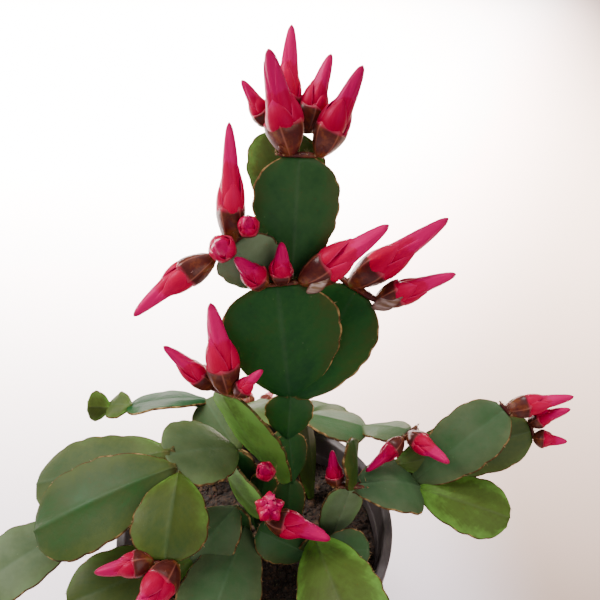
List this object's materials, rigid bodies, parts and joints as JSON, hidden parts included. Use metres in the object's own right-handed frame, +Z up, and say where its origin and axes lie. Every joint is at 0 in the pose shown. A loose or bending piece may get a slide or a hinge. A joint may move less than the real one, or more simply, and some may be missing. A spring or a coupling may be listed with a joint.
{
  "type": "potted easter cactus",
  "caption": "Easter cactus of flat notched stem segments with closed crimson buds, standing in soil in a small round plastic nursery pot.",
  "frame": {"origin": "middle of the pot's flat underside, where it stands", "axes": "+Z up along the pot's axis; -Y towards the side that shows the broad front segment; +X to the right of that side"},
  "size_m": [0.2008, 0.141, 0.249],
  "materials": {
    "pot": "dark grey-brown moulded plastic, satin",
    "soil": "moist crumbly potting soil with bark, rough",
    "stem": "smooth waxy green plant skin, satin",
    "cup": "brown shiny scales of the buds",
    "bud": "smooth crimson petals, satin"
  },
  "bodies": {
    "root": {"bud_b3_1": "bud", "bud_b3_2": "bud", "bud_blade_1": "bud", "bud_blade_2": "bud", "bud_blade_3": "bud", "bud_crest_1": "bud", "bud_crest_2": "bud", "bud_crest_3": "bud", "bud_crown_1": "bud", "bud_crown_2": "bud", "bud_ear_1": "bud", "bud_ear_2": "bud", "bud_ear_3": "bud", "bud_ear_4": "bud", "bud_face_1": "bud", "bud_face_2": "bud", "bud_face_3": "bud", "bud_g3_1": "bud", "bud_g3_2": "bud", "bud_nub_1": "bud", "bud_r1_1": "bud", "bud_r4_1": "bud", "bud_r5_1": "bud", "bud_r5_2": "bud", "bud_sickle_1": "bud", "bud_sickle_2": "bud", "bud_thumb_1": "bud", "bud_thumb_2": "bud", "bud_wing_1": "bud", "bud_wing_2": "bud", "cups_b3": "cup", "cups_blade": "cup", "cups_crest": "cup", "cups_crown": "cup", "cups_ear": "cup", "cups_face": "cup", "cups_g3": "cup", "cups_nub": "cup", "cups_r1": "cup", "cups_r4": "cup", "cups_r5": "cup", "cups_sickle": "cup", "cups_thumb": "cup", "cups_wing": "cup", "pot": "pot", "soil": "soil", "stem_back": "stem", "stem_far_left": "stem", "stem_far_right": "stem", "stem_front": "stem", "stem_left": "stem", "stem_middle": "stem", "stem_near_left": "stem", "stem_right": "stem"}
  },
  "joints": []
}
